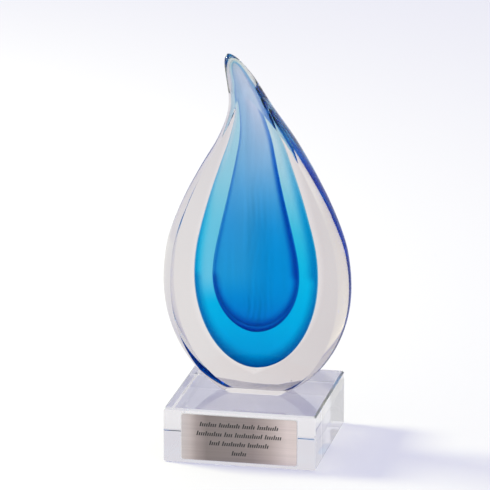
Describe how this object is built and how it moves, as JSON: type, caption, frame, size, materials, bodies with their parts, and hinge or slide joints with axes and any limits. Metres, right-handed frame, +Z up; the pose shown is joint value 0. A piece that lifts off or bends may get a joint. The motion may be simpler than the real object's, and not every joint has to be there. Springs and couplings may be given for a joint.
{
  "type": "art glass drop award",
  "caption": "Flat-faced art glass drop with a blue heart and an aqua ring in clear glass, leaning tip, bonded to a clear block with an engraved metal plate.",
  "frame": {"origin": "middle of the clear block's flat underside", "axes": "+Z up, -Y is the front that carries the name plate, +X to the right seen from the front, and the drop's tip leans towards -X"},
  "size_m": [0.1044, 0.0867, 0.2191],
  "materials": {
    "clear_glass": "polished clear art glass",
    "aqua_glass": "cased aqua glass, paler towards the tip",
    "cobalt_glass": "thin cased cobalt glass",
    "heart_glass": "cased mid-blue glass, paler towards the tip",
    "block_glass": "polished optical glass",
    "clear_cement": "cured clear cement film",
    "brushed_plate": "brushed along its length",
    "mounting_tape": "translucent white double-sided tape",
    "engraving_paint": "matt black paint fill"
  },
  "bodies": {
    "root": {"base_block": "block_glass", "uv_bond": "clear_cement", "clear_casing": "clear_glass", "aqua_layer": "aqua_glass", "cobalt_layer": "cobalt_glass", "heart_glass": "heart_glass", "plate_tape": "mounting_tape", "name_plate": "brushed_plate", "engraving_fill": "engraving_paint"}
  },
  "joints": []
}
